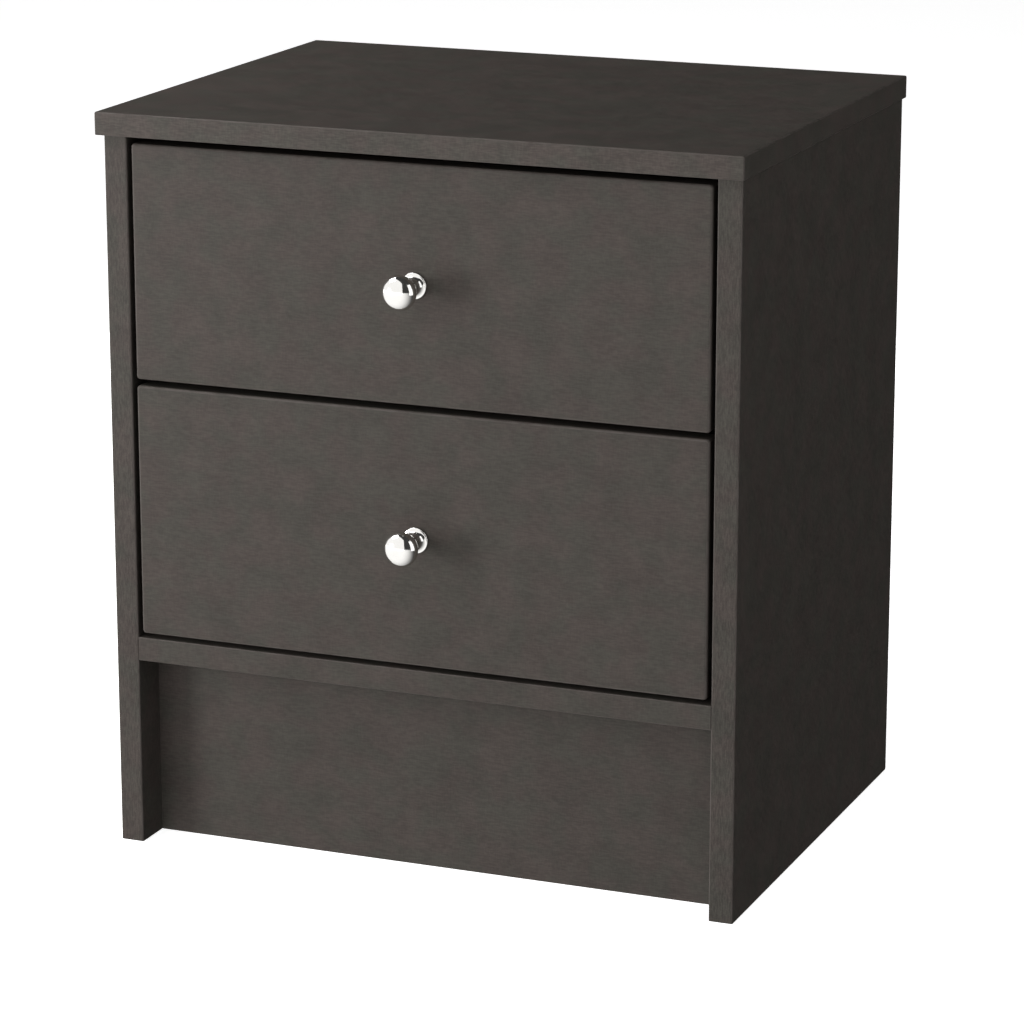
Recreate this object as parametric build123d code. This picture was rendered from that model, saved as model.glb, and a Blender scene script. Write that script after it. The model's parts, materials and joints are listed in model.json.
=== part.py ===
from build123d import *
import os
from math import cos, radians, sin, sqrt

# A two-drawer bedside cabinet of foil-covered particleboard, held with cam fittings and dowels. Each drawer
# runs on a pair of steel rails with nylon rollers. Millimetres. +X is to the right of someone facing the
# drawers, +Y is to the back and +Z is up. The origin is on the floor, under the middle of the object's box.

# Cabinet
cabinet_width = 430.0  # over the side panels
cabinet_depth = 330.0  # front to back of a side panel
cabinet_height = 490.0  # floor to top surface
panel_thickness = 16.0
top_thickness = 15.0
top_side_overhang = 3.0
top_front_overhang = 7.0
plinth_height = 126.0
plinth_recess = 28.0
panel_edge_radius = 1.2
shelf_edge_radius = 0.8

# Back panel, let into grooves in the sides and the top
back_panel_thickness = 3.0
back_panel_setback = 6.0  # from the rear edges to the panel's rear face
groove_depth = 5.0
groove_clearance = 0.2

# Drawer fronts, inset flush with the side panels
front_thickness = 16.0
front_edge_radius = 2.0
front_corner_radius = 2.5
upper_front_height = 154.0
front_side_gap = 3.0
front_top_gap = 5.0
front_middle_gap = 4.0
front_bottom_gap = 3.0

# Drawer boxes
drawer_board = 12.0
drawer_board_edge_radius = 1.0
drawer_bottom_thickness = 3.0
drawer_bottom_height = 10.0  # drawer bottom's underside over the sides' lower edges
side_above_front_edge = 14.0  # the sides' lower edges over the front's lower edge
side_below_front_top = 35.0
drawer_rear_clearance = 5.0

# Drawer runners: a channel on the cabinet, an angle on the drawer, a roller at one end of each
runner_space = 12.5  # between the cabinet's side and the drawer's side
rail_sheet = 1.2
angle_foot_width = 11.0  # under the drawer's side
flange_edge_gap = 1.1  # running flange's edge to the heads of the channel's screws
track_edge_gap = 1.3  # channel's track to the angle's web
lip_setback = 2.0  # channel's lip is this much narrower than its track
lip_over_flange = 6.0  # top of the channel over the top of the running flange
roller_radius = 9.5
roller_rim_radius = 0.5
roller_gap = 0.3  # between a roller and the flange or track that it runs on
roller_wall_gap = 0.5  # between a roller and the web that carries it
roller_under_gap = 2.0  # cabinet roller over the channel's track
front_roller_inset = 12.0  # channel's front end to the roller's axis
rear_roller_inset = 14.0  # angle's rear end to the roller's axis
axle_radius = 2.5
axle_head_radius = 3.5
axle_head_thickness = 1.0
axle_head_gap = 0.95  # axle's head to the other rail's web
axle_clearance = 0.05
channel_front_gap = 1.0  # behind the drawer front
track_below_side = 0.5  # channel's track under the drawer side's lower edge
stop_inset = 55.0  # channel's front end to the pull-out stop
stop_height = 6.0
stop_wall_gap = 3.0
stop_edge_gap = 1.0

# Knob
knob_flange_radius = 8.5
knob_flange_thickness = 1.4
knob_rim_radius = 0.6
knob_neck_radius = 4.2
knob_neck_start = 8.5  # from the drawer's front
knob_neck_end = 14.0
knob_head_radius = 11.3
knob_head_half_depth = 7.8
knob_head_distance = 23.7  # from the drawer's front to the head's middle
knob_head_back_angle = 50.0  # from the head's widest line back to where its neck begins
knob_flare_slope = 0.2  # of the neck's trumpet where it meets the flange's rim
knob_thread_depth = 11.0
knob_screw_tip_gap = 1.0

# Fittings
fitting_clearance = 0.1  # around a plain fitting in its bore
cam_radius = 7.5
cam_past_line = 4.0  # depth of the cam past the middle of its board
cam_to_edge = 24.0  # cam's axis to the joint
cam_edge_inset = 37.0  # cam's axis to the front or rear edge
small_cam_radius = 6.0
small_cam_past_line = 3.5
small_cam_to_edge = 20.0
cam_cavity_radius = 3.6
cam_slot_length = 8.0
cam_slot_width = 1.6
cam_slot_depth = 2.4
bolt_shank_radius = 3.0
bolt_neck_radius = 2.1
bolt_neck_length = 7.0
bolt_head_length = 2.4
bolt_thread_length = 11.0
dowel_radius = 4.0
dowel_in_face = 10.0
dowel_in_edge = 20.0
dowel_from_cam = 32.0
small_dowel_radius = 3.0
small_dowel_inset = 18.0  # from the rail's top edge or the drawer side's top edge
screw_radius = 1.75
screw_head_radius = 2.8
screw_head_thickness = 1.0
rail_screw_length = 10.0
rail_screw_count = 3
rail_screw_end_inset = 40.0
channel_screw_drop = 2.0  # under the top of the running flange
angle_screw_height = 3.6  # over the drawer side's lower edge
back_screw_radius = 2.0
back_screw_head_radius = 3.8
back_screw_head_depth = 2.2
back_screw_length = 34.0
back_screw_edge_inset = 22.0
nail_radius = 0.8
nail_length = 18.0
nail_head_radius = 2.2
nail_head_thickness = 0.8
back_nail_count = 5
drawer_nail_count = 3
nail_end_inset = 30.0
knob_screw_radius = 2.0
knob_screw_hole_radius = 2.3
knob_screw_head_radius = 4.2
knob_screw_head_thickness = 2.4

# Places worked out from the sizes above
knob_reach = knob_head_distance + knob_head_half_depth
front_y = -(cabinet_depth - knob_reach) / 2
back_y = front_y + cabinet_depth
inner_x = cabinet_width / 2 - panel_thickness
under_top_z = cabinet_height - top_thickness
shelf_top_z = plinth_height + panel_thickness
back_panel_y = back_y - back_panel_setback - back_panel_thickness
plinth_y = front_y + plinth_recess
front_back_y = front_y + front_thickness
drawer_back_y = back_panel_y - drawer_rear_clearance
drawer_half_width = inner_x - runner_space
front_half_width = inner_x - front_side_gap

angle_web_u = runner_space - rail_sheet
axle_head_space = axle_clearance + axle_head_thickness + axle_head_gap
roller_width = angle_web_u - rail_sheet - roller_wall_gap - axle_head_space
angle_web_height = roller_under_gap + 2 * roller_radius + roller_gap + rail_sheet - track_below_side
channel_top_height = angle_web_height + lip_over_flange
channel_track_width = angle_web_u - track_edge_gap
running_flange_u = rail_sheet + screw_head_thickness + flange_edge_gap

lower_front_base = shelf_top_z + front_bottom_gap
upper_front_base = under_top_z - front_top_gap - upper_front_height
lower_front_height = upper_front_base - front_middle_gap - lower_front_base

cam_depth = panel_thickness / 2 + cam_past_line
small_cam_depth = drawer_board / 2 + small_cam_past_line

nodes = {}


def block(corner, opposite):
    """A plain board between two opposite corners."""
    size = [abs(b - a) for a, b in zip(corner, opposite)]
    middle = [(a + b) / 2 for a, b in zip(corner, opposite)]
    return Pos(*middle) * Box(*size)


def rod(start, end, radius):
    """A round bar between two points."""
    start, end = Vector(*start), Vector(*end)
    run = end - start
    upright = Cylinder(radius, run.length, align=(Align.CENTER, Align.CENTER, Align.MIN))
    return Plane(origin=start, z_dir=run) * upright


def front_eased(board, axis, radius):
    """The board with a radius on those of its front edges that lie along an axis."""
    return fillet(board.edges().filter_by(axis).group_by(Axis.Y)[0], radius)


def spread(start, end, count):
    """Evenly spaced places from start to end."""
    return [start + (end - start) * i / (count - 1) for i in range(count)]


# Cam fittings and dowels. Each is told by a point on the joint's line, in the middle of the board that holds
# the cam, the way into that board from the face with the cam, and the way towards the board with the bolt.


def cam_lock(point, into, towards, board, radius, depth):
    """A cam with its bolt's cavity, the way in for the bolt, and a cross slot for the driver."""
    face = point - into * (board / 2)
    cam = rod(face, face + into * depth, radius)
    cam -= rod(point - towards * bolt_head_length, point + towards * (radius + 1), cam_cavity_radius)
    across = into.cross(towards)
    for along, over in ((towards, across), (across, towards)):
        half = along * (cam_slot_length / 2) + over * (cam_slot_width / 2)
        cam -= block(tuple(face - half - into), tuple(face + half + into * cam_slot_depth))
    return cam


def cam_bolt(point, towards, to_edge):
    """A bolt with its head in the cam, a thin neck, a shank and a threaded end in the other board."""
    half_head = towards * (bolt_head_length / 2)
    head = rod(point - half_head, point + half_head, bolt_shank_radius)
    neck = rod(point, point + towards * bolt_neck_length, bolt_neck_radius)
    shank_end = point + towards * (to_edge + bolt_thread_length)
    shank = rod(point + towards * bolt_neck_length, shank_end, bolt_shank_radius)
    return head + neck + shank


def cam_bore(point, into, board, radius, depth):
    face = point - into * (board / 2)
    return rod(face - into, face + into * (depth + fitting_clearance), radius + fitting_clearance)


def bolt_bore(point, towards, to_edge):
    start = point - towards * (bolt_head_length / 2 + fitting_clearance)
    end = point + towards * (to_edge + bolt_thread_length + fitting_clearance)
    return rod(start, end, bolt_shank_radius + fitting_clearance)


def dowel(joint, towards, radius):
    """A dowel across a joint, longer in the edge of its first board than in the face of the second."""
    return rod(joint - towards * dowel_in_edge, joint + towards * dowel_in_face, radius)


def dowel_bore(joint, towards, radius):
    start = joint - towards * (dowel_in_edge + fitting_clearance)
    end = joint + towards * (dowel_in_face + fitting_clearance)
    return rod(start, end, radius + fitting_clearance)


def carcass_joint(point, into, towards, dowel_side):
    """One cam, its bolt and the dowel beside it in the cabinet's boards, and the bores for them."""
    cam = cam_lock(point, into, towards, panel_thickness, cam_radius, cam_depth)
    bolt = cam_bolt(point, towards, cam_to_edge)
    joint = point + towards * cam_to_edge + dowel_side * dowel_from_cam
    peg = dowel(joint, towards, dowel_radius)
    bores = [
        cam_bore(point, into, panel_thickness, cam_radius, cam_depth),
        bolt_bore(point, towards, cam_to_edge),
        dowel_bore(joint, towards, dowel_radius),
    ]
    return cam, bolt, peg, bores


# The cabinet's boards
hands = (("left", -1), ("right", 1))
side_panels = {}
for side, outward in hands:
    panel = block((outward * inner_x, front_y, 0), (outward * cabinet_width / 2, back_y, under_top_z))
    side_panels[side] = front_eased(panel, Axis.Z, panel_edge_radius)

top_half_width = cabinet_width / 2 + top_side_overhang
top_panel = block(
    (-top_half_width, front_y - top_front_overhang, under_top_z), (top_half_width, back_y, cabinet_height)
)
top_panel = fillet(top_panel.edges().filter_by(Axis.Z), panel_edge_radius)
top_panel = fillet(top_panel.faces().sort_by(Axis.Z)[-1].edges(), panel_edge_radius)
top_panel = fillet(top_panel.faces().sort_by(Axis.Z)[0].edges(), shelf_edge_radius)

bottom_shelf = block((-inner_x, front_y, plinth_height), (inner_x, back_panel_y, shelf_top_z))
bottom_shelf = front_eased(bottom_shelf, Axis.X, shelf_edge_radius)
plinth_board = block((-inner_x, plinth_y, 0), (inner_x, plinth_y + panel_thickness, plinth_height))

tongue = groove_depth - groove_clearance
back_panel_rear_y = back_panel_y + back_panel_thickness
back_panel = block(
    (-inner_x - tongue, back_panel_y, plinth_height),
    (inner_x + tongue, back_panel_rear_y, under_top_z + tongue),
)
groove = block(
    (-inner_x - groove_depth, back_panel_y, plinth_height - groove_clearance),
    (inner_x + groove_depth, back_panel_rear_y + groove_clearance, under_top_z + groove_depth),
)
top_panel -= groove
for side in side_panels:
    side_panels[side] -= groove

cam_locks, cam_bolts, dowels = [], [], []
up, forwards = Vector(0, 0, 1), Vector(0, -1, 0)
cam_places = (plinth_y + cam_edge_inset, back_panel_y - cam_edge_inset)
for side, outward in hands:
    outwards = Vector(outward, 0, 0)
    mid_panel_x = outward * (inner_x + panel_thickness / 2)
    shelf_cam_x = outward * (inner_x - cam_to_edge)
    for cam_y, dowel_side in zip(cam_places, (forwards * -1, forwards)):
        top_cam = Vector(mid_panel_x, cam_y, under_top_z - cam_to_edge)
        shelf_cam = Vector(shelf_cam_x, cam_y, plinth_height + panel_thickness / 2)
        at_top = carcass_joint(top_cam, outwards, up, dowel_side)
        at_shelf = carcass_joint(shelf_cam, up, outwards, dowel_side)
        for cam, bolt, peg, bores in (at_top, at_shelf):
            cam_locks.append(cam)
            cam_bolts.append(bolt)
            dowels.append(peg)
            side_panels[side] -= bores
        top_panel -= at_top[3]
        bottom_shelf -= at_shelf[3]
    plinth_mid = Vector(shelf_cam_x, plinth_y + panel_thickness / 2, plinth_height / 2)
    cam, bolt, peg, bores = carcass_joint(plinth_mid, forwards, outwards, up)
    cam_locks.append(cam)
    cam_bolts.append(bolt)
    dowels.append(peg)
    side_panels[side] -= bores
    plinth_board -= bores


def nail():
    """A flat-headed nail pointing up, with its head under the origin."""
    head = rod((0, 0, -nail_head_thickness), (0, 0, 0), nail_head_radius)
    return head + rod((0, 0, 0), (0, 0, nail_length), nail_radius)


def nail_bore():
    return rod((0, 0, 0), (0, 0, nail_length + fitting_clearance), nail_radius + axle_clearance)


# Nails that hold the back panel to the shelf's rear edge
back_nails = []
nail_z = plinth_height + panel_thickness / 2
for nail_x in spread(nail_end_inset - inner_x, inner_x - nail_end_inset, back_nail_count):
    place = Plane(origin=(nail_x, back_panel_rear_y, nail_z), z_dir=(0, -1, 0))
    back_nails.append(place * nail())
    back_panel -= place * nail_bore()
    bottom_shelf -= place * nail_bore()


# Runners. Places across the gap beside a drawer are told as a distance from the cabinet's side panel, u.


def beside(outward, u):
    """The X of a place at distance u from the cabinet's side, on the side that outward (-1 or 1) says."""
    return outward * (inner_x - u)


def strip(outward, u_near, u_far, y_low, y_high, z_low, z_high):
    """A block in the gap beside a drawer."""
    return block((beside(outward, u_near), y_low, z_low), (beside(outward, u_far), y_high, z_high))


def cross_rod(outward, u_near, u_far, y, z, radius):
    """A round bar across the gap beside a drawer."""
    return rod((beside(outward, u_near), y, z), (beside(outward, u_far), y, z), radius)


def rail_screw(outward, u_face, way, y, z):
    """A screw with its head on the rail's face at u_face, pointing along u if way is 1, back if it is -1."""
    head = cross_rod(outward, u_face - way * screw_head_thickness, u_face, y, z, screw_head_radius)
    return head + cross_rod(outward, u_face, u_face + way * rail_screw_length, y, z, screw_radius)


def rail_screw_bore(outward, u_face, way, y, z):
    reach = rail_screw_length + fitting_clearance
    return cross_rod(outward, u_face - way, u_face + way * reach, y, z, screw_radius + fitting_clearance)


def roller(outward, u_near, u_far, y, z):
    """A nylon roller with eased rims and a bore for its axle."""
    wheel = cross_rod(outward, u_near, u_far, y, z, roller_radius)
    wheel = fillet(wheel.edges().filter_by(GeomType.CIRCLE), roller_rim_radius)
    return wheel - cross_rod(outward, u_near, u_far, y, z, axle_radius + axle_clearance)


def riveted_axle(outward, u_back, u_head, way, y, z):
    """A roller's axle, flush with the back of its rail's web and headed past the roller."""
    shaft = cross_rod(outward, u_back, u_head, y, z, axle_radius)
    return shaft + cross_rod(outward, u_head, u_head + way * axle_head_thickness, y, z, axle_head_radius)


channel_front_y = front_back_y + channel_front_gap
front_roller_y = channel_front_y + front_roller_inset
rear_roller_y = drawer_back_y - rear_roller_inset
stop_y = channel_front_y + stop_inset
first_screw_y = channel_front_y + rail_screw_end_inset
last_screw_y = drawer_back_y - rail_screw_end_inset
screw_ys = spread(first_screw_y, last_screw_y, rail_screw_count)


def cabinet_rail(level, side, outward, box_z):
    """The channel on the cabinet's side, with its roller. Returns the roller's axle and the screws."""
    ends = (channel_front_y, drawer_back_y)
    track_z = box_z - track_below_side
    lip_z = box_z + channel_top_height
    channel = strip(outward, 0, rail_sheet, *ends, track_z - rail_sheet, lip_z)
    channel += strip(outward, 0, channel_track_width, *ends, track_z - rail_sheet, track_z)
    channel += strip(outward, 0, channel_track_width - lip_setback, *ends, lip_z - rail_sheet, lip_z)
    stop_us = (stop_wall_gap, channel_track_width - stop_edge_gap)
    channel += strip(outward, *stop_us, stop_y, stop_y + rail_sheet, track_z, track_z + stop_height)

    flange_z = box_z + angle_web_height - rail_sheet
    axle_at = (front_roller_y, flange_z - roller_gap - roller_radius)
    near_u = rail_sheet + roller_wall_gap
    far_u = near_u + roller_width
    channel -= cross_rod(outward, 0, rail_sheet, *axle_at, axle_radius + axle_clearance)
    nodes[f"{level}_{side}_cabinet_roller"] = roller(outward, near_u, far_u, *axle_at)
    axle = riveted_axle(outward, 0, far_u + axle_clearance, 1, *axle_at)

    screws = []
    for screw_y in screw_ys:
        screw_at = (outward, rail_sheet, -1, screw_y, box_z + angle_web_height - channel_screw_drop)
        screws.append(rail_screw(*screw_at))
        channel -= rail_screw_bore(*screw_at)
        side_panels[side] -= rail_screw_bore(*screw_at)
    nodes[f"{level}_{side}_cabinet_rail"] = channel
    return axle, screws


def knob(z):
    """A turned knob: a round flange, a trumpet neck and a flattened ball head, on the drawer's front."""
    turn = radians(knob_head_back_angle)
    ball_x, ball_y = knob_head_radius * cos(turn), knob_head_half_depth * sin(turn)
    ball_slope = (-knob_head_radius * sin(turn), knob_head_half_depth * cos(turn))
    ball_back = (ball_x, ball_y - knob_head_distance)
    neck_end, neck_start = (knob_neck_radius, -knob_neck_end), (knob_neck_radius, -knob_neck_start)
    rim_face = (knob_flange_radius - knob_rim_radius, -knob_flange_thickness)
    rim_side = (knob_flange_radius, knob_rim_radius - knob_flange_thickness)
    outline = [
        EllipticalCenterArc(
            (0, -knob_head_distance),
            knob_head_radius,
            knob_head_half_depth,
            -90,
            arc_size=90 + knob_head_back_angle,
        ),
        Spline(ball_back, neck_end, tangents=(ball_slope, (0, 1))),
        Line(neck_end, neck_start),
        Spline(neck_start, rim_face, tangents=((0, 1), (1, knob_flare_slope))),
        RadiusArc(rim_face, rim_side, knob_rim_radius),
        Polyline(rim_side, (knob_flange_radius, 0), (0, 0), (0, -knob_reach)),
    ]
    turned = revolve(make_face(Curve() + outline), Axis.Y)
    bore = rod((0, 0, 0), (0, -knob_thread_depth, 0), knob_screw_radius + axle_clearance)
    return Pos(0, front_y, z) * (turned - bore)


def drawer(level, front_base, front_height):
    """One drawer: its boards, fittings, rails, rollers and knob, all as nodes named after its level."""
    box_z = front_base + side_above_front_edge
    side_top_z = front_base + front_height - side_below_front_top
    bottom_z = box_z + drawer_bottom_height
    bottom_top_z = bottom_z + drawer_bottom_thickness
    inner_half = drawer_half_width - drawer_board
    grooved_half = inner_half + groove_depth
    tongue_half = inner_half + tongue

    front_top = front_base + front_height
    front = block((-front_half_width, front_y, front_base), (front_half_width, front_back_y, front_top))
    front = fillet(front.edges().filter_by(Axis.Y), front_corner_radius)
    front = fillet(front.faces().sort_by(Axis.Y)[0].edges(), front_edge_radius)
    groove = block(
        (-grooved_half, front_back_y - groove_depth, bottom_z),
        (grooved_half, drawer_back_y, bottom_top_z + groove_clearance),
    )
    front -= groove
    bottom = block(
        (-tongue_half, front_back_y - tongue, bottom_z), (tongue_half, drawer_back_y, bottom_top_z)
    )
    back = block(
        (-inner_half, drawer_back_y - drawer_board, bottom_top_z), (inner_half, drawer_back_y, side_top_z)
    )
    back = fillet(back.edges().filter_by(Axis.X).group_by(Axis.Z)[-1], drawer_board_edge_radius)

    # the nails through the bottom into the back
    nails = []
    nail_y = drawer_back_y - drawer_board / 2
    for nail_x in spread(nail_end_inset - inner_half, inner_half - nail_end_inset, drawer_nail_count):
        place = Pos(nail_x, nail_y, bottom_z)
        nails.append(place * nail())
        bottom -= place * nail_bore()
        back -= place * nail_bore()

    cams, bolts, pegs, back_screws, rail_screws, axles = [], [], [], [], [], []
    for side, outward in hands:
        inwards = Vector(-outward, 0, 0)
        outer_x = outward * drawer_half_width
        panel = block((outward * inner_half, front_back_y, box_z), (outer_x, drawer_back_y, side_top_z))
        panel = fillet(panel.edges().filter_by(Axis.Y).group_by(Axis.Z)[-1], drawer_board_edge_radius)
        panel -= groove

        # the cam that pulls the front on, with a dowel above and below it
        rail_top_z = box_z + angle_web_height
        cam_z = (rail_top_z + side_top_z) / 2
        cam_x = outward * (drawer_half_width - drawer_board / 2)
        cam_point = Vector(cam_x, front_back_y + small_cam_to_edge, cam_z)
        cam_fit = (drawer_board, small_cam_radius, small_cam_depth)
        cams.append(cam_lock(cam_point, inwards, forwards, *cam_fit))
        bolts.append(cam_bolt(cam_point, forwards, small_cam_to_edge))
        bores = [
            cam_bore(cam_point, inwards, *cam_fit),
            bolt_bore(cam_point, forwards, small_cam_to_edge),
        ]
        for peg_z in (rail_top_z + small_dowel_inset, side_top_z - small_dowel_inset):
            joint = Vector(cam_x, front_back_y, peg_z)
            pegs.append(dowel(joint, forwards, small_dowel_radius))
            bores.append(dowel_bore(joint, forwards, small_dowel_radius))
        panel -= bores
        front -= bores

        # screws through the side into the back's ends
        for screw_z in (bottom_top_z + back_screw_edge_inset, side_top_z - back_screw_edge_inset):
            face = Vector(outer_x, nail_y, screw_z)
            seat = face + inwards * back_screw_head_depth
            tip = face + inwards * back_screw_length
            back_screws.append(rod(face, seat, back_screw_head_radius) + rod(seat, tip, back_screw_radius))
            hole = rod(face, tip, back_screw_radius + fitting_clearance)
            hole += rod(face, seat, back_screw_head_radius + fitting_clearance)
            panel -= hole
            back -= hole

        # the angle under the side, with its flange on the cabinet's roller and its own roller behind
        ends = (front_back_y, drawer_back_y)
        angle = strip(outward, angle_web_u, runner_space, *ends, box_z - rail_sheet, rail_top_z)
        foot_u = runner_space + angle_foot_width
        angle += strip(outward, angle_web_u, foot_u, *ends, box_z - rail_sheet, box_z)
        angle += strip(outward, running_flange_u, runner_space, *ends, rail_top_z - rail_sheet, rail_top_z)
        axle_at = (rear_roller_y, box_z - track_below_side + roller_gap + roller_radius)
        near_u = angle_web_u - roller_wall_gap
        far_u = near_u - roller_width
        angle -= cross_rod(outward, angle_web_u, runner_space, *axle_at, axle_radius + axle_clearance)
        nodes[f"{level}_{side}_drawer_roller"] = roller(outward, near_u, far_u, *axle_at)
        axles.append(riveted_axle(outward, runner_space, far_u - axle_clearance, -1, *axle_at))
        for screw_y in screw_ys:
            screw_at = (outward, angle_web_u, 1, screw_y, box_z + angle_screw_height)
            rail_screws.append(rail_screw(*screw_at))
            angle -= rail_screw_bore(*screw_at)
            panel -= rail_screw_bore(*screw_at)
        nodes[f"{level}_{side}_drawer_rail"] = angle
        nodes[f"{level}_drawer_{side}_side"] = panel

    # the knob and the screw that holds it from inside
    knob_z = front_base + front_height / 2
    screw_tip = front_y - knob_thread_depth + knob_screw_tip_gap
    head_end = front_back_y + knob_screw_head_thickness
    knob_screw = rod((0, front_back_y, knob_z), (0, head_end, knob_z), knob_screw_head_radius)
    knob_screw += rod((0, front_back_y, knob_z), (0, screw_tip, knob_z), knob_screw_radius)
    front -= rod((0, front_back_y, knob_z), (0, front_y, knob_z), knob_screw_hole_radius)

    nodes[f"{level}_drawer_front"] = front
    nodes[f"{level}_drawer_bottom"] = bottom
    nodes[f"{level}_drawer_back"] = back
    nodes[f"{level}_drawer_bottom_nails"] = nails
    nodes[f"{level}_drawer_cam_locks"] = cams
    nodes[f"{level}_drawer_cam_bolts"] = bolts
    nodes[f"{level}_drawer_dowels"] = pegs
    nodes[f"{level}_drawer_back_screws"] = back_screws
    nodes[f"{level}_drawer_rail_screws"] = rail_screws
    nodes[f"{level}_drawer_roller_axles"] = axles
    nodes[f"{level}_knob"] = knob(knob_z)
    nodes[f"{level}_knob_screw"] = knob_screw


cabinet_rail_screws, cabinet_roller_axles = [], []
for level, front_base, front_height in (
    ("upper", upper_front_base, upper_front_height),
    ("lower", lower_front_base, lower_front_height),
):
    drawer(level, front_base, front_height)
    for side, outward in hands:
        axle, screws = cabinet_rail(level, side, outward, front_base + side_above_front_edge)
        cabinet_roller_axles.append(axle)
        cabinet_rail_screws += screws

nodes["top_panel"] = top_panel
nodes["left_side_panel"] = side_panels["left"]
nodes["right_side_panel"] = side_panels["right"]
nodes["bottom_shelf"] = bottom_shelf
nodes["plinth_board"] = plinth_board
nodes["back_panel"] = back_panel
nodes["back_panel_nails"] = back_nails
nodes["cam_locks"] = cam_locks
nodes["cam_bolts"] = cam_bolts
nodes["dowels"] = dowels
nodes["cabinet_rail_screws"] = cabinet_rail_screws
nodes["cabinet_roller_axles"] = cabinet_roller_axles

# How far a drawer comes out: its rear roller then meets the stop, which stands lower than the roller's axis
stop_below_axis = roller_gap + roller_radius - stop_height
stop_reach = sqrt(roller_radius**2 - stop_below_axis**2)
pull_out = rear_roller_y - (stop_y + rail_sheet) - stop_reach - roller_gap
print(f"pull-out {pull_out:.2f} mm, front face at y {front_y:.2f}, knob reach {knob_reach:.2f}")

os.makedirs("parts", exist_ok=True)
for name, shape in nodes.items():
    whole = Compound(children=shape) if isinstance(shape, list) else shape
    export_step(whole, f"parts/{name}.step")
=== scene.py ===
import json
import math

import bmesh
import bpy
from bpy.props import FloatProperty, FloatVectorProperty, IntProperty, PointerProperty
from mathutils import Matrix, Vector

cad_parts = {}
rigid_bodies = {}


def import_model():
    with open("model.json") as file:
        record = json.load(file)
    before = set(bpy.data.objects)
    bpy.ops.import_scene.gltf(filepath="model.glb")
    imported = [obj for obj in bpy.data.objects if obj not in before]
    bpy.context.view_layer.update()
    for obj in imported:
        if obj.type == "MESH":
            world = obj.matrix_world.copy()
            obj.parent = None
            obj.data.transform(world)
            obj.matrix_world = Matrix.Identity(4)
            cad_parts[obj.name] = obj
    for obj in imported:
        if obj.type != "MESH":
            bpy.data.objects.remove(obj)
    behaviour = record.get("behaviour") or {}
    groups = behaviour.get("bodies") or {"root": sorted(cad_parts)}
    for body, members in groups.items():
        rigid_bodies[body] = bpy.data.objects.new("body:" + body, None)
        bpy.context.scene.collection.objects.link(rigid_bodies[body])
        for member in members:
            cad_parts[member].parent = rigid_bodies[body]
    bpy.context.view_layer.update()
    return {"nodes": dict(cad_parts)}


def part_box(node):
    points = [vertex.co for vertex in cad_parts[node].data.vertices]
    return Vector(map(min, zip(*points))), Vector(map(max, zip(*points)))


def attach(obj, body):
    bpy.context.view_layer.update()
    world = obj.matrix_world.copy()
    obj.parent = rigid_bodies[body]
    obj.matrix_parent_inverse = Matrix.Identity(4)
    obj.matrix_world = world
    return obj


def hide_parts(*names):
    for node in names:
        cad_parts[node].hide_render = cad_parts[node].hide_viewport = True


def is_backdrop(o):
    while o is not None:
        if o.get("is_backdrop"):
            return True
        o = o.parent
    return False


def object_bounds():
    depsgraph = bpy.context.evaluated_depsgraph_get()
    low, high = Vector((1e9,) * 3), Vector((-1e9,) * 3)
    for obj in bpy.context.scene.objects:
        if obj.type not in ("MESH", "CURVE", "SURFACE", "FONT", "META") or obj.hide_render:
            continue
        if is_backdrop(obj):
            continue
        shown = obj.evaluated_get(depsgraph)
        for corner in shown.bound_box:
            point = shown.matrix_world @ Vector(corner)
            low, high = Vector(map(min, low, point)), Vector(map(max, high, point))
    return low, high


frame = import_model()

bl_info = {
    "name": "Bedside cabinet with two drawers",
    "version": (1, 0, 0),
    "blender": (4, 5, 0),
    "location": "View3D > Sidebar > Cabinet",
    "description": "Finishes the boards and makes the knobs, screws, nails and rollers of a bedside cabinet",
    "category": "Object",
}

MM = 0.001
LEVELS = ("upper", "lower")
SIDES = (("left", -1), ("right", 1))
TURNS = {
    "+x": Matrix.Rotation(math.pi / 2, 3, "Y"),
    "-x": Matrix.Rotation(-math.pi / 2, 3, "Y"),
    "+y": Matrix.Rotation(-math.pi / 2, 3, "X"),
    "-y": Matrix.Rotation(math.pi / 2, 3, "X"),
    "+z": Matrix.Identity(3),
    "-z": Matrix.Rotation(math.pi, 3, "X"),
}


# Sizes and colours that a user would change


def size(name, description, default):
    """A length in metres, told in millimetres."""
    return FloatProperty(name=name, description=description, default=default * MM, unit="LENGTH", precision=5)


def share(name, description, default):
    """A number from 0 to 1."""
    return FloatProperty(name=name, description=description, default=default, min=0, max=1, subtype="FACTOR")


def colour(name, description, default):
    """A linear colour."""
    return FloatVectorProperty(name=name, description=description, default=default, size=3, subtype="COLOR")


def power(name, description, default):
    """A lamp's power in watts."""
    return FloatProperty(name=name, description=description, default=default, min=0, unit="POWER")


def angle(name, description, default):
    """An angle in radians, told in degrees."""
    return FloatProperty(name=name, description=description, default=math.radians(default), subtype="ANGLE")


class FoilSettings(bpy.types.PropertyGroup):
    warm: colour("Warm tone", "The foil's redder tone", (0.0550, 0.0456, 0.0408))
    cool: colour("Cool tone", "The foil's greener tone", (0.0498, 0.0458, 0.0396))
    # the rubbed edge colour is partly wear and partly a painted highlight along the rounded edges
    rubbed_and_highlighted: colour("Rubbed edge", "The foil where its rounded edges are rubbed", (0.079, 0.069, 0.063))
    thread_length: size("Thread length", "Length of the printed threads", 5.0)
    thread_width: size("Thread width", "Width of the printed threads", 0.9)
    mottle: size("Mottle", "Size of the cloudy patches", 24.0)
    roughness: share("Roughness", "Roughness of the foil", 0.52)
    gloss: share("Gloss", "Specular level of the foil", 0.10)


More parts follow.
